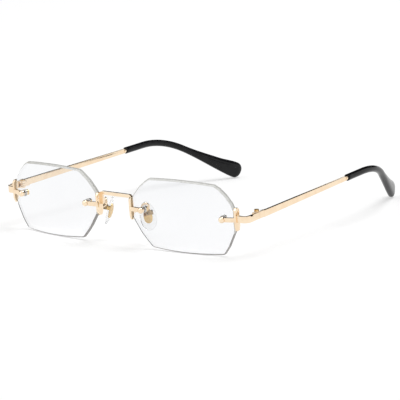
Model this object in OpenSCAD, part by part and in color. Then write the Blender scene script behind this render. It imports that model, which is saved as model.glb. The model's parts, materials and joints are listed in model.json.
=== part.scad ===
// Rimless spectacles: two clear eight-sided lenses held by gilt clamps, a plain bridge,
// silicone nose pads on bent wire arms, and folding temples with black plastic tips.
// Millimetres. +X is the wearer's left, -Y the way the wearer looks and +Z is up.
// The origin is on the surface they rest on, in the middle of their width and depth.

/* [Lenses] */
// Width of one lens, side to side
lens_w = 53; // [52:0.5:56]
// Height of one lens, top to bottom
lens_h = 33.6; // [32:0.4:36]
// Thickness of the lens
lens_t = 1.8; // [1.6:0.1:2.2]
// Radius of the lens's front surface
lens_curve_r = 130; // [115:5:180]
// Width of the cuts at the corners by the nose
inner_cut_w = 10.5; // [9:0.5:12]
// Width of the cut at the upper outer corner
top_outer_cut_w = 9; // [7.5:0.5:11]
// Width of the cut at the lower outer corner
bottom_outer_cut_w = 7.6; // [6:0.2:10]
// Height of the cuts at the upper corners
top_cut_h = 9.3; // [8:0.1:9.5]
// Height of the cut at the lower corner by the nose
inner_cut_h = 13; // [11:0.2:14]
// Height of the cut at the lower outer corner
bottom_cut_h = 11.8; // [10:0.1:12]
// How far the top and bottom edges bow outwards
edge_bow = 0.7; // [0.3:0.1:1]
// How far the cuts across the corners bow outwards
cut_bow = 0.5; // [0.2:0.1:0.8]
// How far each corner's rounding runs along its edges
corner_cut = 1.3; // [0.6:0.1:2]

/* [Front] */
// Gap between the two lenses
lens_gap = 20; // [18:0.5:22]
// Angle that each lens is swept back from the straight line across the face
wrap_angle = 6.8; // [4:0.2:8]
// Angle that the front leans forwards at the top
lean_angle = 4.5; // [3:0.5:6]

/* [Clamps] */
// Distance from the lens's edge to the screw
screw_inset = 5.8; // [5:0.2:7]
// Height of the screws by the nose above the middle of the lens
inner_rise = 1.6; // [1:0.2:2]
// Height of the screws by the temples above the middle of the lens
outer_rise = 0.4; // [0:0.2:1]
// Height of the clamp's bar along the lens's edge
clamp_h = 10.4; // [9:0.2:10.8]
// Depth of the clamp's bar from front to back
clamp_depth = 3.4; // [3.2:0.1:4]
// Thickness of the clamp's bar and arm
clamp_t = 1; // [0.8:0.1:1.1]
// Height of the arm that lies on the lens
arm_h = 2; // [1.6:0.1:2.4]
// Diameter of the domed screw head
dome_d = 2.9; // [2.6:0.1:3.2]
// Height of the domed screw head
dome_h = 1.2; // [0.9:0.1:1.3]
// Diameter of the lens screw's shank
screw_d = 1.2; // [1:0.1:1.3]
// Wall of the plastic bush in the lens
bush_wall = 0.35; // [0.3:0.05:0.45]

/* [Bridge] */
// Height of the bridge's top face above the screws
bridge_rise = 5.8; // [5.6:0.1:6.4]
// Height of the bridge's bar
bridge_h = 1.8; // [1.5:0.1:2.2]
// Thickness of the bridge from front to back
bridge_t = 1.2; // [1:0.1:1.5]
// Length of the bridge's legs below its bar
leg_h = 4.2; // [3.6:0.2:5]

/* [Nose pads] */
// Height of the silicone pad
pad_h = 13; // [12:0.5:14]
// Width of the silicone pad
pad_w = 8; // [7:0.5:9]
// Thickness of the silicone pad
pad_t = 2.4; // [2:0.1:2.8]
// Angle that the pad faces back towards the wearer
pad_splay = 25; // [20:1:30]
// Angle that the pads spread apart towards their lower ends
pad_spread = 17; // [12:1:20]
// Diameter of the bent wire pad arm
wire_d = 1; // [0.8:0.1:1.1]
// Radius of the arch in the pad arm
arch_r = 1.5; // [1.3:0.1:1.7]
// Angle that the arch is turned outwards from straight back
arch_turn = 44; // [40:1:50]
// How far the pad's middle hangs below its screw
pad_drop = 1; // [0.6:0.1:1.4]

/* [Temples] */
// Length of the metal temple from its joint to the tip's mouth
temple_l = 70; // [66:1:76]
// Outer radius of the bend in the endpiece, in front of the hinge
endpiece_bend_r = 3; // [2.4:0.2:3.6]
// Height of the temple at its joint
temple_h = 3; // [2.6:0.1:3.2]
// Height of the temple at the tip
temple_end_h = 2; // [1.8:0.1:2.2]
// Thickness of the temple
temple_t = 1.2; // [1:0.1:1.4]
// Angle that each temple closes in towards the other
temple_toe_in = 3.5; // [3:0.1:4]
// Angle that the temple climbs towards the tip
temple_climb = 2.9; // [2.6:0.1:3.2]

/* [Temple tips] */
// Length of the tip from its mouth to the bend's middle
tip_reach = 24; // [21:1:27]
// Length of the tip from the bend's middle to its end
tip_drop_l = 49; // [47:0.5:50]
// Angle of the tip's bend
tip_bend = 35.3; // [34.5:0.1:36]
// Angle that the bend leans inwards from straight down
tip_lean = 34; // [32:1:36]
// Radius of the bend's centre line
tip_bend_r = 40; // [32:1:44]
// Diameter of the tip at its mouth
tip_d = 3.1; // [2.9:0.1:3.4]
// Width of the tip's paddle at its end
paddle_w = 6.6; // [6:0.2:7]
// Length over which the tip widens into its paddle
paddle_l = 34; // [28:1:38]
// Length over which the paddle's end is rounded off
paddle_round = 3.4; // [3:0.2:4]
// How much thicker the tip is at its end
paddle_thicker = 0.4; // [0.2:0.1:0.8]
// Diameter of the core wire inside the tip
core_d = 1.4; // [1.2:0.1:1.6]

/* [Hinges] */
// Diameter of the hinge's knuckles
knuckle_d = 2.4; // [2.2:0.1:2.6]
// Diameter of the hinge screw
hinge_screw_d = 1; // [0.8:0.1:1.2]
// Height of the middle knuckle
mid_knuckle_h = 1.2; // [1:0.1:1.4]
// Length of each hinge leaf
leaf_l = 4.6; // [4:0.2:5]

/* [Hidden] */
$fn = 48;

gold = "#e9cf9a";
dark_gold = "#c8a25c";
clear = [0.93, 0.95, 0.97, 0.35];
frosted = [0.96, 0.96, 0.95, 0.6];
nylon = [0.9, 0.9, 0.88, 0.8];
black = "#1b1b1d";

// Fineness of the wide curves on the lenses
curve_fn = 240;
// Gap between a clamp and the lens it holds
lens_seat_gap = 0.06;
// Gap under a screw's head and under a nut
seat_gap = 0.02;
// Width of the slot in a screw's head
slot_w = 0.3;
// Gap around a shank in a hole
shank_gap = 0.03;
// Gap in a joint that turns
running_gap = 0.04;
// How far soldered pieces run into each other
solder = 0.15;
// How much fatter a bent wire is where two lengths of it meet
bead = 0.02;

half_w = lens_w / 2;
corner_h = lens_h / 2 - edge_bow;
edge_sag = lens_curve_r - sqrt(pow(lens_curve_r, 2) - pow(half_w, 2));
bottom_sag = lens_curve_r - sqrt(pow(lens_curve_r, 2) - pow(lens_h / 2, 2));
lens_x = lens_gap / 2 + half_w * cos(wrap_angle) + edge_sag * sin(wrap_angle);
lens_y = half_w * sin(wrap_angle) - edge_sag * cos(wrap_angle);
front_z = lens_h / 2 * cos(lean_angle) - (lens_y + bottom_sag) * sin(lean_angle);

screw_u = half_w - screw_inset;
screw_turn = asin(screw_u / lens_curve_r);
screw_r = screw_d / 2;
bush_r = screw_r + bush_wall;
bar_u = half_w + lens_seat_gap;
bar_y = edge_sag + lens_t / 2 - clamp_depth / 2;
// Seen from above: the point at u along the lens and v behind the front of its middle
function lens_point(u, v) = [lens_x + u * cos(wrap_angle) - v * sin(wrap_angle),
    lens_y + u * sin(wrap_angle) + v * cos(wrap_angle)];
bar_middle = lens_point(bar_u + clamp_t / 2, bar_y + clamp_depth / 2);
arm_front = lens_seat_gap + clamp_t;
flange_t = 0.3;
washer_t = 0.3;
nut_t = 1.1;
nut_r = 1.3;
bush_back = lens_t + lens_seat_gap + flange_t;
washer_back = bush_back + lens_seat_gap + washer_t;
nut_back = washer_back + nut_t;

bridge_top = inner_rise + bridge_rise;
bridge_half = lens_gap / 2 - clamp_t - lens_seat_gap;
bridge_corner = 2.6;
bridge_y = 1.2;

pad_x = lens_gap / 2 + 3;
pad_y = 9.2;
pad_z = -2.6;
pad_back = 1.6;
box_half_y = 1.15;
box_wall = 0.35;
box_reach = 0.9;
lug_t = 2 * (box_half_y - box_wall - running_gap);
pad_head_t = 0.5;
lug_r = 0.8;
roof_z = 1;
pad_screw_r = 0.35;
core_t = 0.4;
core_depth = 0.7;

// Points that the pad arm's wire passes, seen from above; the last also has its height
roof_tilt = (roof_z + box_wall) * sin(pad_spread);
roof_top = [pad_x - roof_tilt * cos(pad_splay), pad_y + roof_tilt * sin(pad_splay),
    pad_z + (roof_z + box_wall) * cos(pad_spread)];
arm_turn = [roof_top.x - 2 * arch_r * cos(arch_turn), roof_top.y - 2 * arch_r * sin(arch_turn)];
arm_start = lens_point(-bar_u - clamp_t / 2, bar_y + clamp_depth - 2 * solder);
arch_z = 0.5;
wire_bend = 1.1;

axis_x = lens_gap / 2 + lens_w + 3.6;
axis_y = 17;
hinge_z = front_z + 1.9;
joint_y = axis_y + 2.4;
knuckle_r = knuckle_d / 2;
strip_x = knuckle_r + running_gap + temple_t / 2;
stack_h = temple_h + 0.2;
end_knuckle_h = (stack_h - mid_knuckle_h) / 2 - running_gap;
leaf_t = 0.5;
joint_gap = 0.06;

tip_shell = tip_d / 2;
bend_run = tip_bend_r * tan(tip_bend / 2);
bend_arc = tip_bend_r * tip_bend * PI / 180;
tip_l = tip_reach - bend_run + bend_arc + tip_drop_l - bend_run;
core_tail = 9;
collar_r = temple_end_h / 2;
collar_l = 1.5;

// How far the tip's end and the lens screw's dome reach past the points found below
tip_end_back = 1.37;
dome_front = 0.1;
rear_y = joint_y + temple_l * cos(temple_toe_in)
    + (tip_reach + tip_drop_l * cos(tip_bend)) * cos(temple_toe_in)
    - tip_drop_l * sin(tip_bend) * sin(tip_lean) * sin(temple_toe_in) + tip_end_back;
front_y = lens_y - screw_u * sin(wrap_angle) + lens_curve_r
    - (lens_curve_r + arm_front + dome_h) * cos(screw_turn) - dome_front;
middle_y = (rear_y + front_y) / 2;

function unit(v) = v / norm(v);
function sides() = [-1, 1];
function rise(side) = side < 0 ? inner_rise : outer_rise;

// Corners of the lens's outline, anticlockwise from the upper outer one
lens_corners = [
    [half_w, corner_h - top_cut_h], [half_w - top_outer_cut_w, corner_h],
    [inner_cut_w - half_w, corner_h], [-half_w, corner_h - top_cut_h],
    [-half_w, inner_cut_h - corner_h], [inner_cut_w - half_w, -corner_h],
    [half_w - bottom_outer_cut_w, -corner_h], [half_w, bottom_cut_h - corner_h]];
// How far each edge bows outwards, starting with the cut at the upper outer corner
edge_bows = [cut_bow, edge_bow, cut_bow, 0, cut_bow, edge_bow, cut_bow, 0];
edge_steps = 8;
corner_steps = 4;

function corner(i) = lens_corners[(i + 8) % 8];
function corner_start(i) = corner(i) + corner_cut * unit(corner(i - 1) - corner(i));
function corner_end(i) = corner(i) + corner_cut * unit(corner(i + 1) - corner(i));
function corner_point(i, t) = pow(1 - t, 2) * corner_start(i) + 2 * t * (1 - t) * corner(i)
    + t * t * corner_end(i);
function outward(v) = [v.y, -v.x];
function edge_point(i, t) = corner_end(i) + t * (corner_start(i + 1) - corner_end(i))
    + 4 * t * (1 - t) * edge_bows[i] * outward(unit(corner_start(i + 1) - corner_end(i)));
lens_outline = [for (i = [0:7]) each concat(
    [for (k = [0:corner_steps]) corner_point(i, k / corner_steps)],
    edge_bows[i] == 0 ? [] : [for (k = [1:edge_steps - 1]) edge_point(i, k / edge_steps)])];

// Places
module whole() {
    translate([0, -middle_y, 0]) children();
}

module front_frame() {
    whole() translate([0, 0, front_z]) rotate([lean_angle, 0, 0]) children();
}

module lens_frame() {
    translate([lens_x, lens_y, 0]) rotate([0, 0, wrap_angle]) children();
}

// Stands on the lens's front surface at a screw: -Y points out of the lens
module at_screw(side) {
    translate([0, lens_curve_r, rise(side)]) rotate([0, 0, side * screw_turn])
        translate([0, -lens_curve_r, 0]) children();
}

module each_screw(side) {
    front_frame() for (hand = [0, 1]) mirror([hand, 0, 0]) lens_frame() at_screw(side) children();
}

module pad_frame() {
    translate([pad_x, pad_y, pad_z]) rotate([0, 0, -pad_splay]) rotate([0, -pad_spread, 0])
        children();
}

module hinge_frame() {
    whole() translate([axis_x, axis_y, hinge_z]) children();
}

// Stands on the temple's centre line at its joint: X runs along the temple, +Y is inwards
module temple_frame() {
    hinge_frame() translate([strip_x, joint_y - axis_y, 0]) rotate([0, 0, 90 + temple_toe_in])
        rotate([0, -temple_climb, 0]) children();
}

module tip_frame() {
    temple_frame() translate([temple_l, 0, 0]) rotate([tip_lean, 0, 0]) children();
}

// Round rod that runs from depth y0 to y1 behind the lens's front surface
module rod_y(y0, y1, r) {
    translate([0, y0, 0]) rotate([-90, 0, 0]) cylinder(h = y1 - y0, r = r);
}

// Lenses
module lens() {
    color(clear) front_frame() lens_frame() difference() {
        intersection() {
            translate([0, edge_sag + 2 * lens_t, 0]) rotate([90, 0, 0])
                linear_extrude(height = edge_sag + 4 * lens_t) polygon(lens_outline);
            translate([0, lens_curve_r, 0]) difference() {
                sphere(r = lens_curve_r, $fn = curve_fn);
                sphere(r = lens_curve_r - lens_t, $fn = curve_fn);
            }
        }
        for (side = sides()) at_screw(side) rod_y(-1, lens_t + 1, bush_r + shank_gap);
    }
}

// Clamps
module clamp_bar() {
    end_depth = clamp_depth * 0.55;
    slope = (clamp_depth - end_depth) / 2;
    half = clamp_h / 2;
    rotate([90, 0, 90]) linear_extrude(height = clamp_t)
        polygon([[slope, -half], [clamp_depth - slope, -half], [clamp_depth, -half + 2],
            [clamp_depth, half - 1], [clamp_depth - 1, half], [1, half], [0, half - 1],
            [0, -half + 2]]);
}

// The part of a clamp that lies on the lens: side is 1 for the outer clamp, -1 for the inner
module clamp(side) {
    reach = half_w + lens_seat_gap + clamp_t;
    difference() {
        union() {
            mirror([side < 0 ? 1 : 0, 0, 0]) {
                translate([bar_u, bar_y, rise(side)]) clamp_bar();
                translate([0, 0, rise(side) - arm_h / 2]) linear_extrude(height = arm_h)
                    intersection() {
                        translate([0, lens_curve_r]) difference() {
                            circle(r = lens_curve_r + arm_front, $fn = curve_fn);
                            circle(r = lens_curve_r + lens_seat_gap, $fn = curve_fn);
                        }
                        translate([screw_u, -arm_front]) square([reach - screw_u, edge_sag + arm_front]);
                    }
            }
            at_screw(side) rod_y(-arm_front, -lens_seat_gap, dome_d / 2 - 0.1);
        }
        at_screw(side) rod_y(-arm_front - 1, 1, screw_r + shank_gap);
    }
}

module inner_clamp() {
    color(gold) front_frame() lens_frame() clamp(-1);
}

// Strip that leaves the outer clamp, bends back and ends at the temple joint
module endpiece_strip() {
    outer = strip_x + temple_t / 2;
    inner = strip_x - temple_t / 2;
    bend = endpiece_bend_r;
    start_x = bar_middle.x - axis_x;
    start_y = bar_middle.y - temple_t / 2 - axis_y;
    translate([0, 0, -temple_h / 2]) linear_extrude(height = temple_h) union() {
        translate([inner, start_y + bend]) square([temple_t, joint_y - axis_y - start_y]);
        translate([outer - bend, start_y + bend]) intersection() {
            difference() {
                circle(r = bend);
                circle(r = bend - temple_t);
            }
            translate([0, -bend]) square(bend);
        }
        translate([start_x, start_y]) square([outer - bend - start_x, temple_t]);
    }
}

module endpiece() {
    color(gold) {
        front_frame() lens_frame() clamp(1);
        hinge_frame() difference() {
            rotate([lean_angle, 0, 0]) endpiece_strip();
            translate([0, joint_y - axis_y, -temple_h]) cube(2 * temple_h);
        }
    }
}

// Lens fastenings
module lens_screw() {
    cap_r = (pow(dome_d / 2, 2) + pow(dome_h, 2)) / (2 * dome_h);
    seat = -arm_front - seat_gap;
    intersection() {
        translate([0, seat - dome_h + cap_r, 0]) sphere(r = cap_r);
        rod_y(seat - dome_h - 1, seat, dome_d);
    }
    rod_y(seat - dome_h / 2, nut_back + 0.3, screw_r);
}

module lens_bush() {
    difference() {
        union() {
            rod_y(0.1, lens_t + lens_seat_gap, bush_r);
            rod_y(lens_t + lens_seat_gap, bush_back, nut_r + 0.3);
        }
        rod_y(-1, bush_back + 1, screw_r + shank_gap);
    }
}

module lens_washer() {
    difference() {
        rod_y(bush_back + lens_seat_gap, washer_back, nut_r + 0.2);
        rod_y(0, washer_back + 1, screw_r + shank_gap);
    }
}

// Round nut with two flats for a nut driver
module lens_nut() {
    difference() {
        rod_y(washer_back + seat_gap, nut_back, nut_r);
        rod_y(0, nut_back + 1, screw_r + shank_gap);
        for (hand = [0, 1]) mirror([hand, 0, 0]) translate([nut_r * 0.8, nut_back - 0.6, -nut_r])
            cube(2 * nut_r);
    }
}

// Bridge
// Upright block with its two upper corners rounded
module arch_outline(half, floor_z, top_z, r) {
    translate([-half, floor_z]) square([2 * half, top_z - r - floor_z]);
    translate([r - half, floor_z]) square([2 * (half - r), top_z - floor_z]);
    for (side = sides()) translate([side * (half - r), top_z - r]) circle(r = r);
}

module bridge() {
    bridge_floor = bridge_top - bridge_h - leg_h;
    color(gold) front_frame() translate([0, bridge_y + bridge_t, 0]) rotate([90, 0, 0])
        linear_extrude(height = bridge_t) difference() {
            arch_outline(bridge_half + solder, bridge_floor, bridge_top, bridge_corner);
            arch_outline(bridge_half - bridge_h, bridge_floor - 1, bridge_top - bridge_h,
                bridge_corner - bridge_h);
        }
}

// Nose pads
// Bent wire: back from the clamp, up, over in a half turn and down onto the roof of the box
module pad_arm() {
    r = wire_d / 2;
    run = norm(arm_turn - arm_start);
    run_angle = atan2(arm_turn.y - arm_start.y, arm_turn.x - arm_start.x);
    arch_angle = atan2(roof_top.y - arm_turn.y, roof_top.x - arm_turn.x);
    color(gold) front_frame() {
        translate([arm_start.x, arm_start.y, arch_z - wire_bend]) rotate([0, 0, run_angle]) {
            rotate([0, 90, 0]) cylinder(h = run - wire_bend, r = r);
            translate([run - wire_bend, 0, wire_bend]) rotate([90, 0, 0]) rotate([0, 0, -90])
                rotate_extrude(angle = 90) translate([wire_bend, 0]) circle(r = r);
        }
        for (end = [arm_turn, roof_top]) translate([end.x, end.y, arch_z]) sphere(r = r + bead);
        translate([roof_top.x, roof_top.y, arch_z]) rotate([0, 0, arch_angle])
            translate([-arch_r, 0, 0]) rotate([90, 0, 0]) rotate_extrude(angle = 180)
                translate([arch_r, 0]) circle(r = r);
        translate([roof_top.x, roof_top.y, roof_top.z - solder])
            cylinder(h = arch_z - roof_top.z + solder, r = r);
    }
}

// Box with a roof and two cheeks that the pad's lug turns between
module pad_box() {
    color(gold) front_frame() pad_frame() difference() {
        translate([-box_reach, -box_half_y, -lug_r])
            cube([2 * box_reach + box_wall, 2 * box_half_y, lug_r + roof_z + box_wall]);
        translate([-box_reach - 1, -box_half_y + box_wall, -lug_r - 1])
            cube([2 * box_reach + 1, 2 * (box_half_y - box_wall), lug_r + 1 + roof_z]);
        rod_y(-box_half_y - 1, box_half_y + 1, pad_screw_r + shank_gap);
    }
}

module pad_screw() {
    color(dark_gold) front_frame() pad_frame() {
        rod_y(-box_half_y - seat_gap, box_half_y + box_wall / 2, pad_screw_r);
        difference() {
            rod_y(-box_half_y - pad_head_t, -box_half_y - seat_gap, 2 * pad_screw_r);
            translate([-2 * pad_screw_r, -box_half_y - pad_head_t - 0.1, -slot_w / 2])
                cube([4 * pad_screw_r, slot_w, slot_w]);
        }
    }
}

function oval(w, h, n = 40) = [for (i = [0:n - 1]) let (a = 360 * i / n)
    [w / 2 * cos(a) * (1 - 0.12 * sin(a)), h / 2 * sin(a)]];

module oval_plate(w, h, t) {
    rotate([90, 0, -90]) linear_extrude(height = t) polygon(oval(w, h));
}

// Metal core of a pad, as wide and as deep as its places in the silicone less the gap
module core_shape(gap) {
    translate([-pad_back - core_depth + gap, 0, -pad_drop])
        oval_plate(pad_w * 0.52 + 2 * gap, pad_h * 0.52 + 2 * gap, core_t + 2 * gap);
    translate([-pad_back - core_depth, -lug_t / 2 - gap, -lug_r - gap])
        cube([pad_back + core_depth, lug_t + 2 * gap, 2 * (lug_r + gap)]);
}

module pad_core() {
    color(dark_gold) front_frame() pad_frame() difference() {
        union() {
            core_shape(0);
            rod_y(-lug_t / 2, lug_t / 2, lug_r);
        }
        rod_y(-lug_t, lug_t, pad_screw_r + running_gap);
    }
}

module nose_pad() {
    dome_r = 16;
    color(frosted) front_frame() pad_frame() difference() {
        intersection() {
            translate([-pad_back, 0, -pad_drop]) oval_plate(pad_w, pad_h, pad_t);
            translate([dome_r - pad_back - pad_t, 0, -pad_drop]) sphere(r = dome_r, $fn = 96);
        }
        core_shape(0.03);
    }
}

// Hinges: the leaves lie on the inner faces of the endpiece and of the temple
module knuckle(z, h) {
    translate([0, 0, z]) cylinder(h = h, r = knuckle_r);
}

module leaf_plate(y0, y1, x1) {
    translate([x1 - leaf_t, y0, -stack_h / 2]) cube([leaf_t, y1 - y0, stack_h]);
}

module front_hinge_leaf() {
    face = strip_x - temple_t / 2 + solder;
    color(gold) hinge_frame() difference() {
        union() {
            for (z = [-stack_h / 2, stack_h / 2 - end_knuckle_h]) {
                knuckle(z, end_knuckle_h);
                translate([0, -knuckle_r - 0.6, z]) cube([face, knuckle_r + 0.6, end_knuckle_h]);
            }
            leaf_plate(-leaf_l, -knuckle_r - 0.3, face);
        }
        translate([0, 0, -stack_h]) cylinder(h = 2 * stack_h, r = hinge_screw_d / 2 + shank_gap);
    }
}

module hinge_screw() {
    head_h = 0.6;
    top = stack_h / 2 + seat_gap;
    color(dark_gold) hinge_frame() difference() {
        union() {
            translate([0, 0, -stack_h / 2 + 0.1]) cylinder(h = stack_h, r = hinge_screw_d / 2);
            translate([0, 0, top]) cylinder(h = head_h, r = knuckle_r - 0.1);
        }
        translate([-knuckle_d, -slot_w / 2, top + head_h - slot_w])
            cube([2 * knuckle_d, slot_w, head_h]);
    }
}

module temple_hinge_leaf() {
    face = strip_x - temple_t / 2 - running_gap;
    past_joint = joint_y - axis_y + 3 * joint_gap;
    color(gold) hinge_frame() difference() {
        union() {
            knuckle(-mid_knuckle_h / 2, mid_knuckle_h);
            translate([0, 0, -mid_knuckle_h / 2]) cube([face, knuckle_r + 0.6, mid_knuckle_h]);
            leaf_plate(knuckle_r + 0.3, leaf_l + 1, face);
            leaf_plate(past_joint, leaf_l + 1, face + running_gap + solder);
        }
        translate([0, 0, -stack_h]) cylinder(h = 2 * stack_h, r = hinge_screw_d / 2 + running_gap);
    }
}

// Temples
module core_wire(r, tail) {
    straight = tip_reach - bend_run;
    rotate([0, 90, 0]) cylinder(h = straight, r = r);
    translate([straight, 0, -tip_bend_r]) {
        rotate([90, 0, 0]) rotate([0, 0, 90 - tip_bend])
            rotate_extrude(angle = tip_bend) translate([tip_bend_r, 0]) circle(r = r);
        for (turn = [0, tip_bend]) rotate([0, turn, 0]) translate([0, 0, tip_bend_r])
            sphere(r = r + bead);
        rotate([0, tip_bend, 0]) translate([0, 0, tip_bend_r]) rotate([0, 90, 0])
            cylinder(h = tail, r = r);
    }
}

module temple() {
    color(gold) {
        difference() {
            temple_frame() translate([0, temple_t / 2, 0]) rotate([90, 0, 0])
                linear_extrude(height = temple_t)
                    polygon([[-1, -temple_h / 2], [temple_l, -temple_end_h / 2],
                        [temple_l, temple_end_h / 2], [-1, temple_h / 2]]);
            hinge_frame() translate([0, joint_y - axis_y + joint_gap - 2 * temple_h, -temple_h])
                cube(2 * temple_h);
        }
        tip_frame() {
            translate([-collar_l, 0, 0]) rotate([0, 90, 0]) cylinder(h = 2 * collar_l, r = collar_r);
            core_wire(core_d / 2, core_tail);
        }
    }
}

// Centre line of the tip at a distance s from its mouth, in the plane of its bend
function tip_turned(s) = max(0, min(tip_bend, (s - tip_reach + bend_run) / bend_arc * tip_bend));
function tip_point(s) = let (a = tip_turned(s), before = min(s, tip_reach - bend_run),
    after = max(0, s - tip_reach + bend_run - bend_arc))
    [before + tip_bend_r * sin(a) + after * cos(a), 0,
        -tip_bend_r * (1 - cos(a)) - after * sin(a)];
function smooth(t) = let (c = max(0, min(1, t))) c * c * (3 - 2 * c);
// The paddle widens over the last stretch and its end is rounded off
function tip_round(s) = max(end_flat, sqrt(max(0,
    1 - pow(max(0, s - tip_l + paddle_round) / paddle_round, 2))));
function tip_half_w(s) = tip_round(s) * (tip_shell
    + (paddle_w / 2 - tip_shell) * smooth((s - tip_l + paddle_l) / (paddle_l - paddle_round)));
function tip_half_t(s) = tip_round(s) * (tip_shell + paddle_thicker / 2 * smooth(s / tip_l));
long_steps = 22;
end_flat = 0.3;
tip_stations = concat([for (i = [0:long_steps]) (tip_l - paddle_round) * i / long_steps],
    [for (a = [15:15:90]) tip_l - paddle_round + paddle_round * sin(a)]);
ring_n = 24;

// Ring of points round the centre line, its wide way kept upright
function tip_ring(s) = let (a = tip_turned(s), along = [cos(a), 0, -sin(a)],
    across = unit(cross([0, sin(tip_lean), cos(tip_lean)], along)), up = cross(along, across))
    [for (i = [0:ring_n - 1]) let (b = 360 * i / ring_n)
        tip_point(s) + tip_half_t(s) * cos(b) * across + tip_half_w(s) * sin(b) * up];

module tip_body() {
    rings = len(tip_stations);
    points = [for (s = tip_stations) each tip_ring(s)];
    walls = [for (k = [0:rings - 2], i = [0:ring_n - 1]) let (j = (i + 1) % ring_n, p = k * ring_n)
        each [[p + i, p + ring_n + i, p + j], [p + j, p + ring_n + i, p + ring_n + j]]];
    start = [[for (i = [0:ring_n - 1]) i]];
    end = [[for (i = [ring_n - 1:-1:0]) (rings - 1) * ring_n + i]];
    polyhedron(points, concat(walls, start, end), convexity = 4);
}

module tip() {
    color(black) tip_frame() difference() {
        tip_body();
        translate([-collar_l, 0, 0]) rotate([0, 90, 0])
            cylinder(h = 2 * collar_l + 0.1, r = collar_r + shank_gap);
        core_wire(core_d / 2 + shank_gap, core_tail + 0.2);
    }
}

lens();  // left_lens
mirror([1, 0, 0]) lens();  // right_lens
bridge();
inner_clamp();  // left_inner_clamp
mirror([1, 0, 0]) inner_clamp();  // right_inner_clamp
endpiece();  // left_endpiece
mirror([1, 0, 0]) endpiece();  // right_endpiece
color(gold) each_screw(-1) lens_screw();  // inner_lens_screws
color(gold) each_screw(1) lens_screw();  // outer_lens_screws
color(nylon) for (s = sides()) each_screw(s) lens_bush();  // lens_bushes
color(gold) for (s = sides()) each_screw(s) lens_washer();  // lens_washers
color(dark_gold) for (s = sides()) each_screw(s) lens_nut();  // lens_nuts
pad_arm();  // left_pad_arm
mirror([1, 0, 0]) pad_arm();  // right_pad_arm
pad_box();  // left_pad_box
mirror([1, 0, 0]) pad_box();  // right_pad_box
pad_screw();  // left_pad_screw
mirror([1, 0, 0]) pad_screw();  // right_pad_screw
pad_core();  // left_pad_core
mirror([1, 0, 0]) pad_core();  // right_pad_core
nose_pad();  // left_nose_pad
mirror([1, 0, 0]) nose_pad();  // right_nose_pad
front_hinge_leaf();  // left_front_hinge_leaf
mirror([1, 0, 0]) front_hinge_leaf();  // right_front_hinge_leaf
hinge_screw();  // left_hinge_screw
mirror([1, 0, 0]) hinge_screw();  // right_hinge_screw
temple_hinge_leaf();  // left_temple_hinge_leaf
mirror([1, 0, 0]) temple_hinge_leaf();  // right_temple_hinge_leaf
temple();  // left_temple
mirror([1, 0, 0]) temple();  // right_temple
tip();  // left_tip
mirror([1, 0, 0]) tip();  // right_tip
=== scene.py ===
import json
import math
import bmesh
import bpy
from mathutils import Matrix, Vector


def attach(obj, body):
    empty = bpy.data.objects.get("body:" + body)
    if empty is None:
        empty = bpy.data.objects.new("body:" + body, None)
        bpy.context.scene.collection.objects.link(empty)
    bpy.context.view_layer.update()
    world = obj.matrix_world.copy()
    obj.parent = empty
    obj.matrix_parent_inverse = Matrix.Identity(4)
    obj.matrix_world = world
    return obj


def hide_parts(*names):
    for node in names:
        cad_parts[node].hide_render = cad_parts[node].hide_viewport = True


# Rimless spectacles with clear eight-sided lenses, standing open on a pale studio floor.
# Pieces are made in millimetres and brought down to metres when they are put in place.

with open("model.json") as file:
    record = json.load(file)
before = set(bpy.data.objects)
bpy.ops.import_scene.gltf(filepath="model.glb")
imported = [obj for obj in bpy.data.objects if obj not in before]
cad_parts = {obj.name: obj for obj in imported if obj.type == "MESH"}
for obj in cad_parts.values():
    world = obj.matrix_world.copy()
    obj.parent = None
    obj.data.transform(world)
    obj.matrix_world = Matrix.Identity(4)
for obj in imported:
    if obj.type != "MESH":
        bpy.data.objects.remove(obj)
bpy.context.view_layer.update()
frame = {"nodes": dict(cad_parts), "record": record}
nodes = frame["nodes"]
print("frame loaded:", len(nodes), "solids")

# Small helpers

nearly = 0.01   # millimetres, for what is picked by its place


def clearSelection():
    if bpy.context.object and bpy.context.object.mode != "OBJECT":
        bpy.ops.object.mode_set(mode="OBJECT")
    bpy.ops.object.select_all(action="DESELECT")


def activate(piece):
    clearSelection()
    piece.select_set(True)
    bpy.context.view_layer.objects.active = piece


def edit(piece):
    activate(piece)
    bpy.ops.object.mode_set(mode="EDIT")


def choose(piece, kind, test):
    # selects the vertices, edges or faces that pass the test, in edit mode
    bpy.ops.mesh.select_mode(type=kind)
    bpy.ops.mesh.select_all(action="DESELECT")
    mesh = bmesh.from_edit_mesh(piece.data)
    for part in {"VERT": mesh.verts, "EDGE": mesh.edges, "FACE": mesh.faces}[kind]:
        part.select_set(test(part))
    mesh.select_flush_mode()
    bmesh.update_edit_mesh(piece.data)


def faceOutwards():
    # turns every face of the piece in edit mode outwards
    bpy.ops.mesh.select_all(action="SELECT")
    bpy.ops.mesh.normals_make_consistent(inside=False)


def applyTurnAndSize():
    bpy.ops.object.transform_apply(location=True, rotation=True, scale=True)


def applyModifier(piece, kind, **settings):
    activate(piece)
    modifier = piece.modifiers.new(kind.title(), kind)
    for name, value in settings.items():
        setattr(modifier, name, value)
    bpy.ops.object.modifier_apply(modifier=modifier.name)


def breakEdges(piece, width, steps, angle):
    applyModifier(piece, "BEVEL", width=width, segments=steps, limit_method="ANGLE",
                  angle_limit=math.radians(angle))


def smoothByAngle(piece, degrees):
    activate(piece)
    bpy.ops.object.shade_smooth_by_angle(angle=math.radians(degrees))


def turn(axis, degrees):
    return Matrix.Rotation(math.radians(degrees), 4, axis)


def shift(x, y, z):
    return Matrix.Translation((x, y, z))


def settle(piece, place):
    # puts a piece made in millimetres in its place, and leaves its object at the origin
    activate(piece)
    piece.matrix_world = Matrix.Scale(0.001, 4) @ place
    applyTurnAndSize()


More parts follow.
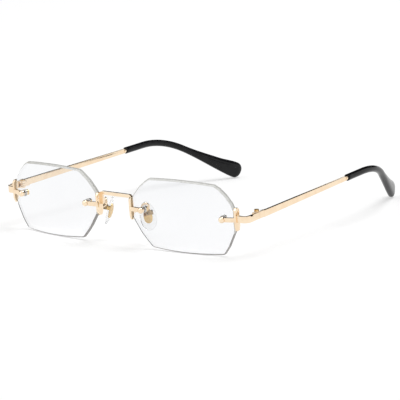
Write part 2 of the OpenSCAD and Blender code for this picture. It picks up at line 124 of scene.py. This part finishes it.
def mirrored(piece, name):
    # the right-hand copy, with its own mesh and its faces turned outwards again
    copy = bpy.data.objects.new(name, piece.data.copy())
    bpy.context.scene.collection.objects.link(copy)
    copy.data.transform(Matrix.Scale(-1, 4, (1, 0, 0)))
    edit(copy)
    bpy.ops.mesh.select_all(action="SELECT")
    bpy.ops.mesh.flip_normals()
    clearSelection()
    return copy


def paint(piece, *materials):
    piece.data.materials.clear()
    for material in materials:
        piece.data.materials.append(material)


def finishPiece(piece, body, slot, *solids):
    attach(piece, body)
    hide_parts(*solids)


# Finishes

polishedLook = {
    "toneLow": 0.35, "toneHigh": 0.65,   # where the noise turns from the deep tone to the pale one
    "drawnOut": 0.12,   # below 1, the scratches are drawn out along the spectacles' depth
    "metallic": 1.0, "specular": 0.5, "bumpDepth": 0.00005,
}
goldLook = dict(polishedLook, pale=(0.95, 0.785, 0.58, 1), deep=(0.92, 0.72, 0.51, 1),
                patchScale=260, scratchScale=2400, roughLow=0.06, roughHigh=0.14, bump=0.04)
darkGoldLook = dict(goldLook, pale=(0.83, 0.59, 0.28, 1), deep=(0.72, 0.49, 0.21, 1),
                    roughLow=0.12, roughHigh=0.22)
# for the pad boxes and their screws, which look darker than the metal round them: a darker gold that is a
# painted dark reflection
darkReflectionGoldLook = dict(goldLook, pale=(0.50, 0.37, 0.22, 1), deep=(0.36, 0.26, 0.15, 1),
                      roughLow=0.12, roughHigh=0.22)
blackLook = dict(polishedLook, pale=(0.012, 0.012, 0.013, 1), deep=(0.004, 0.004, 0.005, 1),
                 metallic=0.0, specular=0.22,
                 patchScale=420, scratchScale=1500, roughLow=0.10, roughHigh=0.19, bump=0.03)
nylonLook = dict(polishedLook, pale=(0.86, 0.86, 0.84, 1), deep=(0.78, 0.78, 0.77, 1), metallic=0.0,
                 patchScale=500, scratchScale=2000, roughLow=0.35, roughHigh=0.5, bump=0.05)

clearLook = {"toneLow": 0.3, "toneHigh": 0.7, "bends": 1.5, "specular": 0.5}
lensLook = dict(clearLook, pale=(0.938, 0.944, 0.956, 1), deep=(0.924, 0.931, 0.945, 1), clear=1.0,
                patchScale=45, roughLow=0.0, roughHigh=0.015, letsThrough=0.95)
# the lens rim in three tones by which way it faces: a lit one, and two darker ones that are painted shade for
# its undersides
edgeLook = dict(clearLook, pale=(0.80, 0.80, 0.76, 1), deep=(0.68, 0.68, 0.65, 1), clear=0.3,
                patchScale=900, roughLow=0.2, roughHigh=0.45, letsThrough=0.15)
edgeShadeLook = dict(edgeLook, pale=(0.42, 0.40, 0.385, 1), deep=(0.33, 0.315, 0.30, 1), clear=0.1)
edgeDeepShadeLook = dict(edgeLook, pale=(0.09, 0.09, 0.09, 1), deep=(0.05, 0.05, 0.05, 1), clear=0.0,
                    specular=0.0)
siliconeLook = dict(clearLook, pale=(0.97, 0.97, 0.965, 1), deep=(0.92, 0.925, 0.93, 1), clear=0.94,
                    bends=1.12, patchScale=600, roughLow=0.05, roughHigh=0.16, letsThrough=0.8)


def link(tree, output, socket):
    tree.links.new(output, socket)


def startMaterial(name):
    material = bpy.data.materials.new(name)
    material.use_nodes = True
    return material, material.node_tree, material.node_tree.nodes["Principled BSDF"]


def addNoise(tree, place, scale, detail):
    noise = tree.nodes.new("ShaderNodeTexNoise")
    noise.inputs["Scale"].default_value = scale
    noise.inputs["Detail"].default_value = detail
    link(tree, place, noise.inputs["Vector"])
    return noise.outputs["Fac"]


def addTones(tree, noise, look, shader):
    tones = tree.nodes.new("ShaderNodeValToRGB")
    deep, pale = tones.color_ramp.elements
    deep.position = look["toneLow"]
    deep.color = look["deep"]
    pale.position = look["toneHigh"]
    pale.color = look["pale"]
    link(tree, noise, tones.inputs["Fac"])
    link(tree, tones.outputs["Color"], shader.inputs["Base Color"])


def addGloss(tree, noise, look, shader):
    gloss = tree.nodes.new("ShaderNodeMapRange")
    gloss.inputs["To Min"].default_value = look["roughLow"]
    gloss.inputs["To Max"].default_value = look["roughHigh"]
    link(tree, noise, gloss.inputs["Value"])
    link(tree, gloss.outputs["Result"], shader.inputs["Roughness"])


def mixByRay(tree, ray, otherwise, chosen, output):
    # the chosen shader for the rays that the first socket names, and the other one for the rest
    mix = tree.nodes.new("ShaderNodeMixShader")
    link(tree, ray, mix.inputs["Fac"])
    link(tree, otherwise, mix.inputs[1])
    link(tree, chosen, mix.inputs[2])
    link(tree, mix.outputs["Shader"], output.inputs["Surface"])


def polished(name, look):
    # two close tones in soft patches, fine scratches in the gloss and a faint unevenness
    material, tree, shader = startMaterial(name)
    shader.inputs["Metallic"].default_value = look["metallic"]
    shader.inputs["Specular IOR Level"].default_value = look["specular"]
    place = tree.nodes.new("ShaderNodeTexCoord").outputs["Object"]
    addTones(tree, addNoise(tree, place, look["patchScale"], 3), look, shader)
    along = tree.nodes.new("ShaderNodeMapping")
    along.inputs["Scale"].default_value = (1, look["drawnOut"], 1)
    link(tree, place, along.inputs["Vector"])
    scratches = addNoise(tree, along.outputs["Vector"], look["scratchScale"], 2)
    addGloss(tree, scratches, look, shader)
    bump = tree.nodes.new("ShaderNodeBump")
    bump.inputs["Strength"].default_value = look["bump"]
    bump.inputs["Distance"].default_value = look["bumpDepth"]
    link(tree, scratches, bump.inputs["Height"])
    link(tree, bump.outputs["Normal"], shader.inputs["Normal"])
    return material


def clearStuff(name, look):
    # see-through plastic whose shadow is faint, with a slight unevenness in its gloss
    material, tree, shader = startMaterial(name)
    shader.inputs["Transmission Weight"].default_value = look["clear"]
    shader.inputs["IOR"].default_value = look["bends"]
    shader.inputs["Specular IOR Level"].default_value = look["specular"]
    place = tree.nodes.new("ShaderNodeTexCoord").outputs["Object"]
    patches = addNoise(tree, place, look["patchScale"], 2)
    addTones(tree, patches, look, shader)
    addGloss(tree, patches, look, shader)
    # lamps reach what lies behind it
    path = tree.nodes.new("ShaderNodeLightPath")
    lets = tree.nodes.new("ShaderNodeBsdfTransparent")
    lets.inputs["Color"].default_value = (look["letsThrough"],) * 3 + (1,)
    mixByRay(tree, path.outputs["Is Shadow Ray"], shader.outputs["BSDF"], lets.outputs["BSDF"],
             tree.nodes["Material Output"])
    return material


gold = polished("paleGold", goldLook)
darkGold = polished("deepGold", darkGoldLook)
darkReflectionGold = polished("darkReflectionGold", darkReflectionGoldLook)
black = polished("glossBlack", blackLook)
nylon = polished("nylon", nylonLook)
lensClear = clearStuff("lensClear", lensLook)
# the lit rim tone, then the two rim tones that are painted shade
lensEdge = clearStuff("lensEdge", edgeLook)
lensEdgeShade = clearStuff("lensEdgeShade", edgeShadeLook)
lensEdgeDeepShade = clearStuff("lensEdgeDeepShade", edgeDeepShadeLook)
silicone = clearStuff("silicone", siliconeLook)
print("finishes made")

# Places, the same as the solids'

layout = {
    "middleY": 75.424, "frontZ": 16.629, "lean": 4.5, "wrap": 6.8, "lensGap": 20,
    "stripX": 1.84, "jointBack": 2.4,   # from the hinge's axis to the temple strip
    "toeIn": 3.5, "climb": 2.9, "templeLength": 70,
}
foldPlaces = {joint["name"]: joint["pos_m"] for joint in frame["record"]["behaviour"]["joints"]}
hinge = 1000 * Vector(foldPlaces["left_temple_fold"])
front = shift(0, -layout["middleY"], layout["frontZ"]) @ turn("X", layout["lean"])
templeFrame = (shift(hinge.x + layout["stripX"], hinge.y + layout["jointBack"], hinge.z)
               @ turn("Z", 90 + layout["toeIn"]) @ turn("Y", -layout["climb"]))

# Lenses: a plate trimmed to the outline, with a facet round its front, then curved and drilled

lensShape = {
    "width": 53, "height": 33.42, "thickness": 1.8, "curve": 130,
    "topInnerCut": 9.3, "bottomInnerCut": 10, "topOuterCut": 8.3, "bottomOuterCut": 6.6,
    "topCutHeight": 9.3, "innerCutHeight": 13, "bottomCutHeight": 11.8,
    "edgeBow": 0.7, "cutBow": 0.5, "topOuterBow": 0.85, "topCornerRun": 2.0, "bottomCornerRun": 0.8,
    "screwInset": 5.8, "innerRise": 1.6, "outerRise": 0.4, "holeRadius": 0.98,
    "facet": 0.65, "lowerFacet": 0.3,   # the second along the two lower cuts
    "tilt": 1.2,   # how much lower the outer ends of the long edges lie than their inner ends
    "columns": 56, "rows": 36, "margin": 1, "drillLength": 8, "drillSides": 48,
    "arris": 0.12, "arrisAngle": 48, "smoothAngle": 25,
}
# which faces are rim, and which rim faces take the painted shade rather than the lit tone
lensPaint = {
    "rim": 0.9,   # faces that look less than this along the lens's axis are its rim, facet and holes
    "underside": -0.3,   # rim faces that look further down than this are undersides
}
cornerSteps = 4
edgeSteps = 8
lowerCutSlope = 0.25   # least downward and sideways lean of a lower cut's outward direction


def lensOutline(shape):
    half = shape["width"] / 2
    tall = shape["height"] / 2 - shape["edgeBow"]
    corners = [Vector(c) for c in (
        (half, tall - shape["topCutHeight"]), (half - shape["topOuterCut"], tall),
        (shape["topInnerCut"] - half, tall), (-half, tall - shape["topCutHeight"]),
        (-half, shape["innerCutHeight"] - tall), (shape["bottomInnerCut"] - half, -tall),
        (half - shape["bottomOuterCut"], -tall), (half, shape["bottomCutHeight"] - tall))]
    for corner in corners:
        corner.y -= shape["tilt"] * corner.x / shape["width"]
    bows = [shape["cutBow"], shape["edgeBow"], shape["cutBow"], 0] * 2
    bows[0] = shape["topOuterBow"]
    runs = [shape["topCornerRun"]] * 4 + [shape["bottomCornerRun"]] * 4
    points = []
    for i, corner in enumerate(corners):
        before, after = corners[i - 1], corners[(i + 1) % 8]
        start = corner + runs[i] * (before - corner).normalized()
        end = corner + runs[i] * (after - corner).normalized()
        for k in range(cornerSteps + 1):
            t = k / cornerSteps
            points.append((1 - t) ** 2 * start + 2 * t * (1 - t) * corner + t * t * end)
        nextStart = after + runs[(i + 1) % 8] * (corner - after).normalized()
        way = (nextStart - end).normalized()
        outward = Vector((way.y, -way.x))
        if bows[i]:
            for k in range(1, edgeSteps):
                t = k / edgeSteps
                points.append(end + t * (nextStart - end) + 4 * t * (1 - t) * bows[i] * outward)
    return points


def trim(point, direction):
    # cuts away what lies beyond a plane of the piece in edit mode, and closes the cut
    bpy.ops.mesh.select_all(action="SELECT")
    bpy.ops.mesh.bisect(plane_co=(point.x, 0, point.y), plane_no=direction, clear_outer=True, use_fill=True)


def makeLens(shape):
    curve = shape["curve"]
    clearSelection()
    bpy.ops.mesh.primitive_grid_add(x_subdivisions=shape["columns"], y_subdivisions=shape["rows"], size=1,
                                    rotation=(math.pi / 2, 0, 0))
    lens = bpy.context.object
    lens.name = "leftLensGlass"
    lens.scale = (shape["width"] + 2 * shape["margin"], shape["height"] + 2 * shape["margin"], 1)
    applyTurnAndSize()
    bpy.ops.object.mode_set(mode="EDIT")
    bpy.ops.mesh.select_all(action="SELECT")
    bpy.ops.mesh.extrude_region_move(TRANSFORM_OT_translate={"value": (0, shape["thickness"], 0)})
    faceOutwards()
    outline = lensOutline(shape)
    sides = [(point, outline[(i + 1) % len(outline)] - point) for i, point in enumerate(outline)]
    sides = [(point, Vector((way.y, -way.x)).normalized()) for point, way in sides if way.length > 1e-4]
    for point, outward in sides:   # the outline, side by side
        trim(point, (outward.x, 0, outward.y))
    for point, outward in sides:   # the facet
        lower = outward.y < -lowerCutSlope and abs(outward.x) > lowerCutSlope
        inner = point - (shape["lowerFacet"] if lower else shape["facet"]) * outward
        trim(inner, (outward.x, -1, outward.y))
    bpy.ops.mesh.select_all(action="SELECT")
    bpy.ops.mesh.remove_doubles(threshold=nearly)
    bpy.ops.mesh.normals_make_consistent(inside=False)
    bpy.ops.object.mode_set(mode="OBJECT")
    for vertex in lens.data.vertices:   # curves the plate
        x, y, z = vertex.co
        vertex.co.y = y + curve - math.sqrt(curve * curve - x * x - z * z)
    screwAlong = shape["width"] / 2 - shape["screwInset"]
    lean = math.degrees(math.asin(screwAlong / curve))
    for side, rise in ((-1, shape["innerRise"]), (1, shape["outerRise"])):
        clearSelection()
        bpy.ops.mesh.primitive_cylinder_add(vertices=shape["drillSides"], radius=shape["holeRadius"],
                                            depth=shape["drillLength"])
        drill = bpy.context.object
        drill.matrix_world = (shift(0, curve, rise) @ turn("Z", side * lean) @ shift(0, -curve, 0)
                              @ turn("X", 90))
        applyModifier(lens, "BOOLEAN", object=drill, operation="DIFFERENCE", solver="EXACT")
        bpy.data.objects.remove(drill)
    breakEdges(lens, shape["arris"], 1, shape["arrisAngle"])
    smoothByAngle(lens, shape["smoothAngle"])
    return lens


def paintLens(lens, axis):
    # the rim, its facet and the drilled holes look ground; their undersides get painted shade, darkest where
    # they also face -x
    paint(lens, lensClear, lensEdge, lensEdgeShade, lensEdgeDeepShade)
    limit = lensPaint["underside"]
    # lit tone for faces that look up or sideways, painted shade for undersides, darker painted shade for
    # undersides facing -x
    rimToneByLight = (lambda normal: normal.z > limit,
                   lambda normal: normal.z <= limit < normal.x,
                   lambda normal: normal.z <= limit and normal.x <= limit)
    edit(lens)
    for slot, wanted in enumerate(rimToneByLight, start=1):
        choose(lens, "FACE",
               lambda face: abs(face.normal.dot(axis)) < lensPaint["rim"] and wanted(face.normal))
        lens.active_material_index = slot
        bpy.ops.object.material_slot_assign()
    bpy.ops.object.mode_set(mode="OBJECT")


halfWidth = lensShape["width"] / 2
sag = lensShape["curve"] - math.sqrt(lensShape["curve"] ** 2 - halfWidth ** 2)
wrap = math.radians(layout["wrap"])
lensFrame = front @ shift(layout["lensGap"] / 2 + halfWidth * math.cos(wrap) + sag * math.sin(wrap),
                          halfWidth * math.sin(wrap) - sag * math.cos(wrap), 0) @ turn("Z", layout["wrap"])
lensAxis = (lensFrame.to_3x3() @ Vector((0, 1, 0))).normalized()
leftLens = makeLens(lensShape)
settle(leftLens, lensFrame)
rightLens = mirrored(leftLens, "rightLensGlass")
paintLens(leftLens, lensAxis)
paintLens(rightLens, lensAxis * Vector((-1, 1, 1)))
finishPiece(leftLens, "front", "lens", "left_lens")
finishPiece(rightLens, "front", "lens", "right_lens")
print("lenses made:", len(leftLens.data.polygons), "faces each")

# Temple tips: a round sleeve drawn along its bend and widened into a paddle

tipShape = {
    "reach": 25.6, "drop": 47.05, "bend": 36.4, "bendRadius": 40, "lean": 34,
    "mouth": 3.1, "paddleWidth": 6.6, "paddleLength": 34, "paddleRound": 3.4, "thicker": 0.4,
    "squareness": 0.9, "heel": 0.4, "heelLength": 14, "heelWidth": 0.45,
    "bore": 1.1, "boreDepth": 2.2, "lip": 0.16, "lipSteps": 3,
    "sides": 32, "rings": 60, "evenRings": 0.8,   # the share of rings ahead of the rounded end
    "endRing": 0.16, "smoothAngle": 40,   # the last ring's share of the full section
}


def smoothStep(t):
    held = max(0, min(1, t))
    return held * held * (3 - 2 * held)


def makeTip(shape):
    bend = math.radians(shape["bend"])
    radius = shape["bendRadius"]
    run = radius * math.tan(bend / 2)
    arc = radius * bend
    straight = shape["reach"] - run
    length = straight + arc + shape["drop"] - run
    body = length - shape["paddleRound"]
    shell = shape["mouth"] / 2
    even = shape["evenRings"]
    lean = math.radians(shape["lean"])
    upright = Vector((0, math.sin(lean), math.cos(lean)))

    def station(t):
        # how far along the centre line a ring lies: evenly, then closer together over the rounded end
        if t < even:
            return body * t / even
        return body + shape["paddleRound"] * math.sin((t - even) / (1 - even) * math.pi / 2)

    def centreLine(s):
        # the point and the direction at a station: straight, round the bend and straight on
        a = max(0, min(bend, (s - straight) / arc * bend))
        before, after = min(s, straight), max(0, s - straight - arc)
        centre = Vector((before + radius * math.sin(a) + after * math.cos(a), 0,
                         -radius * (1 - math.cos(a)) - after * math.sin(a)))
        return centre, Vector((math.cos(a), 0, -math.sin(a)))

    def growth(s, reach):
        # from 0 to 1 over the last stretch of the tip, up to its rounded end
        return smoothStep((s - length + reach) / (reach - shape["paddleRound"]))

    clearSelection()
    bpy.ops.mesh.primitive_cylinder_add(vertices=shape["sides"], radius=1, depth=1, location=(0.5, 0, 0),
                                        rotation=(0, math.pi / 2, 0))
    tip = bpy.context.object
    tip.name = "leftTipSleeve"
    applyTurnAndSize()
    bpy.ops.object.mode_set(mode="EDIT")
    choose(tip, "EDGE", lambda edge: abs(edge.verts[0].co.x - edge.verts[1].co.x) > 0.5)
    bpy.ops.mesh.subdivide(number_cuts=shape["rings"] - 1)
    bpy.ops.object.mode_set(mode="OBJECT")
    for vertex in tip.data.vertices:   # each ring goes to its station along the bent centre line
        s = station(vertex.co.x)
        past = max(0, s - body) / shape["paddleRound"]
        rounded = max(shape["endRing"], math.sqrt(max(0, 1 - past * past)))
        widening = growth(s, shape["paddleLength"])
        heel = growth(s, shape["heelLength"])
        halfWide = rounded * (shell + (shape["paddleWidth"] / 2 - shell) * widening
                              + shape["heelWidth"] * heel)
        halfThick = rounded * (shell + shape["thicker"] / 2 * smoothStep(s / length))
        centre, along = centreLine(s)
        across = upright.cross(along).normalized()
        up = along.cross(across)
        square = 2 + shape["squareness"] * widening
        flat = (abs(vertex.co.y) ** square + abs(vertex.co.z) ** square) ** (-1 / square)
        vertex.co = (centre + shape["heel"] * heel * up
                     + flat * (halfThick * vertex.co.y * across + halfWide * vertex.co.z * up))
    edit(tip)
    choose(tip, "FACE", lambda face: len(face.verts) > 4 and abs(face.calc_center_median().x) < nearly)
    bpy.ops.mesh.inset(thickness=shell - shape["bore"])   # the mouth that the rod goes into
    bpy.ops.mesh.extrude_region_move(TRANSFORM_OT_translate={"value": (shape["boreDepth"], 0, 0)})
    choose(tip, "EDGE", lambda edge: all(abs(v.co.x) < nearly for v in edge.verts)
           and abs(edge.verts[0].co.length - edge.verts[1].co.length) < nearly)
    bpy.ops.mesh.bevel(offset=shape["lip"], segments=shape["lipSteps"], affect="EDGES")
    faceOutwards()
    bpy.ops.object.mode_set(mode="OBJECT")
    smoothByAngle(tip, shape["smoothAngle"])
    paint(tip, black)
    return tip


leftTip = makeTip(tipShape)
settle(leftTip, templeFrame @ shift(layout["templeLength"], 0, 0) @ turn("X", tipShape["lean"]))
rightTip = mirrored(leftTip, "rightTipSleeve")
finishPiece(leftTip, "left_temple", "black", "left_tip")
finishPiece(rightTip, "right_temple", "black", "right_tip")
print("tips made")

# Nose pads: a soft oval pebble with a flat back

padShape = {
    "place": (13, 9.2, -2.6), "splay": 25, "spread": 17,
    "width": 8, "height": 13, "thickness": 2.4, "rim": 1.0, "back": 1.6, "drop": 1,
    "taper": 0.12,   # how much narrower its upper end is than its middle
    "rimPower": 5, "sides": 56, "rings": 28, "smoothAngle": 60,
}
padFrame = front @ shift(*padShape["place"]) @ turn("Z", -padShape["splay"]) @ turn("Y", -padShape["spread"])


def makePad(shape):
    clearSelection()
    bpy.ops.mesh.primitive_uv_sphere_add(segments=shape["sides"], ring_count=shape["rings"], radius=1,
                                         rotation=(0, math.pi / 2, 0))
    pad = bpy.context.object
    pad.name = "leftPadSilicone"
    applyTurnAndSize()
    halfRim = shape["rim"] / 2
    for vertex in pad.data.vertices:
        x, y, z = vertex.co
        r = min(1, math.hypot(y, z))
        edge = halfRim * math.sqrt(max(0, 1 - r ** shape["rimPower"]))
        depth = halfRim - edge
        if x < 0:
            depth = halfRim + edge + (shape["thickness"] - shape["rim"]) * (1 - r * r)
        vertex.co = (-shape["back"] - depth, y * shape["width"] / 2 * (1 - shape["taper"] * z),
                     z * shape["height"] / 2 - shape["drop"])
    edit(pad)
    faceOutwards()
    bpy.ops.object.mode_set(mode="OBJECT")
    smoothByAngle(pad, shape["smoothAngle"])
    paint(pad, silicone)
    return pad


leftPad = makePad(padShape)
settle(leftPad, padFrame)
rightPad = mirrored(leftPad, "rightPadSilicone")
finishPiece(leftPad, "left_pad", "silicone", "left_nose_pad")
finishPiece(rightPad, "right_pad", "silicone", "right_nose_pad")
print("nose pads made")

# Bridge: a flat bar, its two legs drawn down and its corners rounded

bridgeShape = {
    "half": 9.09, "top": 7.4, "height": 1.55, "legs": 4.45, "depth": 1.2, "frontFace": 1.2,
    "corner": 2.6, "cornerSteps": 10, "innerCorner": 0.8, "innerSteps": 6,
    "arris": 0.28, "arrisSteps": 3, "arrisAngle": 50, "smoothAngle": 35,
}


def makeBridge(shape):
    half, top, tall = shape["half"], shape["top"], shape["height"]
    leg = half - tall   # where each leg's inner side is
    clearSelection()
    bpy.ops.mesh.primitive_cube_add(
        size=1, location=(0, shape["frontFace"] + shape["depth"] / 2, top - tall / 2),
        scale=(2 * half, shape["depth"], tall))
    bar = bpy.context.object
    bar.name = "bridgeBar"
    applyTurnAndSize()
    bpy.ops.object.mode_set(mode="EDIT")
    for side in (-1, 1):
        bpy.ops.mesh.select_all(action="SELECT")
        bpy.ops.mesh.bisect(plane_co=(side * leg, 0, 0), plane_no=(1, 0, 0))
    choose(bar, "FACE", lambda face: face.normal.z < -0.9 and abs(face.calc_center_median().x) > leg)
    bpy.ops.mesh.extrude_region_move(TRANSFORM_OT_translate={"value": (0, 0, -shape["legs"])})
    choose(bar, "EDGE", lambda edge: all(v.co.z > top - nearly and abs(v.co.x) > half - nearly
                                         for v in edge.verts))
    bpy.ops.mesh.bevel(offset=shape["corner"], segments=shape["cornerSteps"], affect="EDGES")
    choose(bar, "EDGE", lambda edge: all(abs(v.co.z - top + tall) < nearly and abs(abs(v.co.x) - leg) < nearly
                                         for v in edge.verts))
    bpy.ops.mesh.bevel(offset=shape["innerCorner"], segments=shape["innerSteps"], affect="EDGES")
    bpy.ops.mesh.select_all(action="SELECT")
    bpy.ops.mesh.remove_doubles(threshold=nearly / 10)
    bpy.ops.mesh.dissolve_limited(angle_limit=math.radians(1))
    bpy.ops.mesh.normals_make_consistent(inside=False)
    bpy.ops.object.mode_set(mode="OBJECT")
    breakEdges(bar, shape["arris"], shape["arrisSteps"], shape["arrisAngle"])
    smoothByAngle(bar, shape["smoothAngle"])
    paint(bar, gold)
    return bar


bridge = makeBridge(bridgeShape)
settle(bridge, front)
finishPiece(bridge, "front", "gold", "bridge")
print("bridge made")

# Other metal pieces: the solids' own shapes with their sharp edges broken

brokenEdges = {"inner_clamp": 0.16, "endpiece": 0.16, "temple": 0.2,
               "temple_hinge_leaf": 0.08, "front_hinge_leaf": 0.08, "pad_box": 0.06}
breaking = {"merge": 0.002, "flatAngle": 1.5, "steps": 2, "sharpAngle": 40, "smoothAngle": 35}


def softened(name, width, finish):
    piece = bpy.data.objects.new(name.replace("_", ".") + ".soft", nodes[name].data.copy())
    bpy.context.scene.collection.objects.link(piece)
    piece.data.transform(Matrix.Scale(1000, 4))
    edit(piece)
    bpy.ops.mesh.customdata_custom_splitnormals_clear()
    bpy.ops.mesh.select_all(action="SELECT")
    bpy.ops.mesh.remove_doubles(threshold=breaking["merge"])
    bpy.ops.mesh.dissolve_limited(angle_limit=math.radians(breaking["flatAngle"]))
    bpy.ops.mesh.normals_make_consistent(inside=False)
    bpy.ops.object.mode_set(mode="OBJECT")
    breakEdges(piece, width, breaking["steps"], breaking["sharpAngle"])
    smoothByAngle(piece, breaking["smoothAngle"])
    piece.data.transform(Matrix.Scale(0.001, 4))
    paint(piece, finish)
    return piece


bodies = frame["record"]["behaviour"]["bodies"]
bodyOf = {node: body for body, members in bodies.items() for node in members}
for kind, width in brokenEdges.items():
    # the pad boxes take the gold with painted dark reflection
    finish = darkReflectionGold if kind == "pad_box" else gold
    for name in ("left_" + kind, "right_" + kind):
        finishPiece(softened(name, width, finish), bodyOf[name], "gold", name)
print("clamps, endpieces, temples and hinges softened")

# The solids that keep their own shape

keptFinish = {
    "inner_lens_screws": gold, "outer_lens_screws": gold, "lens_washers": gold, "lens_nuts": darkGold,
    "lens_bushes": nylon, "left_pad_arm": gold, "right_pad_arm": gold,
    # the pad screws take the gold with painted dark reflection
    "left_pad_screw": darkReflectionGold, "right_pad_screw": darkReflectionGold,
    "left_pad_core": darkGold, "right_pad_core": darkGold,
    "left_hinge_screw": darkGold, "right_hinge_screw": darkGold,
}
for name, finish in keptFinish.items():
    paint(nodes[name], finish)
print("screws, nuts, washers, bushes and pad wires painted")

# Studio, in metres

studio = {"floorSize": 12, "floorGrey": 0.8, "floorLit": 0.55, "floorOwn": 0.487, "worldLight": 0.50}
lamps = {
    "keyLamp": {"place": (0.5, 0.6, 2.4), "aim": (0, 0, 0), "size": 1.4, "watts": 28},
    "fillLamp": {"place": (-1.0, -1.8, 2.0), "aim": (0, 0, 0), "size": 1.8, "watts": 12},
}
screens = {
    "backScreen": {"place": (-0.5, 0.62, 0.62), "aim": (0, 0, 0), "width": 2.2, "height": 1.1},
    "sideScreen": {"place": (0.60, 0.34, 0.66), "aim": (0, 0, 0.02), "width": 0.7, "height": 0.8},
}


def grey(level):
    return (level, level, level, 1)


def seenRays(tree):
    # 1 for what is seen straight, in a reflection or through the lenses, and 0 for scattered light
    path = tree.nodes.new("ShaderNodeLightPath")
    seen = path.outputs["Is Camera Ray"]
    for ray in ("Is Glossy Ray", "Is Transmission Ray"):
        either = tree.nodes.new("ShaderNodeMath")
        either.operation = "MAXIMUM"
        link(tree, seen, either.inputs[0])
        link(tree, path.outputs[ray], either.inputs[1])
        seen = either.outputs[0]
    return seen


def makeFloor():
    # where it is seen it is partly lit and partly glowing, so that it comes out white with soft shadows
    clearSelection()
    bpy.ops.mesh.primitive_plane_add(size=studio["floorSize"], location=(0, 0, 0))
    floor = bpy.context.object
    floor.name = "studioFloor"
    material = bpy.data.materials.new("studioWhite")
    material.use_nodes = True
    tree = material.node_tree
    tree.nodes.clear()
    plain = tree.nodes.new("ShaderNodeBsdfDiffuse")
    plain.inputs["Color"].default_value = grey(studio["floorGrey"])
    lit = tree.nodes.new("ShaderNodeBsdfDiffuse")
    lit.inputs["Color"].default_value = grey(studio["floorLit"])
    own = tree.nodes.new("ShaderNodeEmission")
    own.inputs["Strength"].default_value = studio["floorOwn"]
    both = tree.nodes.new("ShaderNodeAddShader")
    link(tree, lit.outputs["BSDF"], both.inputs[0])
    link(tree, own.outputs["Emission"], both.inputs[1])
    mixByRay(tree, seenRays(tree), plain.outputs["BSDF"], both.outputs["Shader"],
             tree.nodes.new("ShaderNodeOutputMaterial"))
    paint(floor, material)


def makeWorld():
    # white where it is seen, and dimmer as a source of light
    world = bpy.data.worlds.new("studioWorld")
    bpy.context.scene.world = world
    world.use_nodes = True
    tree = world.node_tree
    tree.nodes.clear()
    light, seen = (tree.nodes.new("ShaderNodeBackground") for _ in range(2))
    light.inputs["Strength"].default_value = studio["worldLight"]
    seen.inputs["Strength"].default_value = 1.0
    for node in (light, seen):
        node.inputs["Color"].default_value = grey(1)
    mixByRay(tree, seenRays(tree), light.outputs["Background"], seen.outputs["Background"],
             tree.nodes.new("ShaderNodeOutputWorld"))


def aimed(place, aim, ahead):
    # how something at a place is turned so that its named axis looks at its aim
    return (Vector(aim) - Vector(place)).to_track_quat(ahead, "Y")


def softLamp(name, place, aim, size, watts):
    lamp = bpy.data.lights.new(name, "AREA")
    lamp.shape = "DISK"
    lamp.size = size
    lamp.energy = watts
    holder = bpy.data.objects.new(name, lamp)
    bpy.context.scene.collection.objects.link(holder)
    holder.location = place
    holder.rotation_euler = aimed(place, aim, "-Z").to_euler()


def makeScreenDark():
    material, tree, shader = startMaterial("screenDark")
    shader.inputs["Base Color"].default_value = (0.012, 0.011, 0.01, 1)
    shader.inputs["Roughness"].default_value = 1
    shader.inputs["Specular IOR Level"].default_value = 0
    return material


def darkScreen(name, material, place, aim, width, height):
    # shows only in the polish of the metal, on the lenses and through them
    clearSelection()
    bpy.ops.mesh.primitive_plane_add(size=1)
    screen = bpy.context.object
    screen.name = name
    screen.matrix_world = (Matrix.Translation(place) @ aimed(place, aim, "Z").to_matrix().to_4x4()
                           @ Matrix.Diagonal((width, height, 1, 1)))
    paint(screen, material)
    screen.visible_camera = False
    screen.visible_diffuse = False
    screen.visible_shadow = False


makeFloor()
makeWorld()
for name, lamp in lamps.items():
    softLamp(name, **lamp)
screenDark = makeScreenDark()
for name, screen in screens.items():
    darkScreen(name, screenDark, **screen)
print("studio made")

# Camera, fitted to the photograph's view

view = {
    "azimuth": 37.65, "elevation": 11.675, "roll": -1.5, "distance": 2.0,
    "lens": 397.56, "sensor": 36, "farthest": 50, "target": (0.01747, -0.035424, 0.01561),
}
azimuth, elevation, roll = (math.radians(view[name]) for name in ("azimuth", "elevation", "roll"))
back = Vector((math.sin(azimuth) * math.cos(elevation), -math.cos(azimuth) * math.cos(elevation),
               math.sin(elevation)))
level = Vector((math.cos(azimuth), math.sin(azimuth), 0))
upright = back.cross(level)
right = math.cos(roll) * level + math.sin(roll) * upright
up = math.cos(roll) * upright - math.sin(roll) * level
camera = bpy.data.objects.new("camera", bpy.data.cameras.new("camera"))
bpy.context.scene.collection.objects.link(camera)
camera.data.lens = view["lens"]
camera.data.sensor_width = view["sensor"]
camera.data.clip_end = view["farthest"]
turned = Matrix((right, up, back)).transposed().to_4x4()
camera.matrix_world = Matrix.Translation(Vector(view["target"]) + view["distance"] * back) @ turned
bpy.context.scene.camera = camera
bpy.context.scene.view_settings.view_transform = "Standard"
print("camera placed")
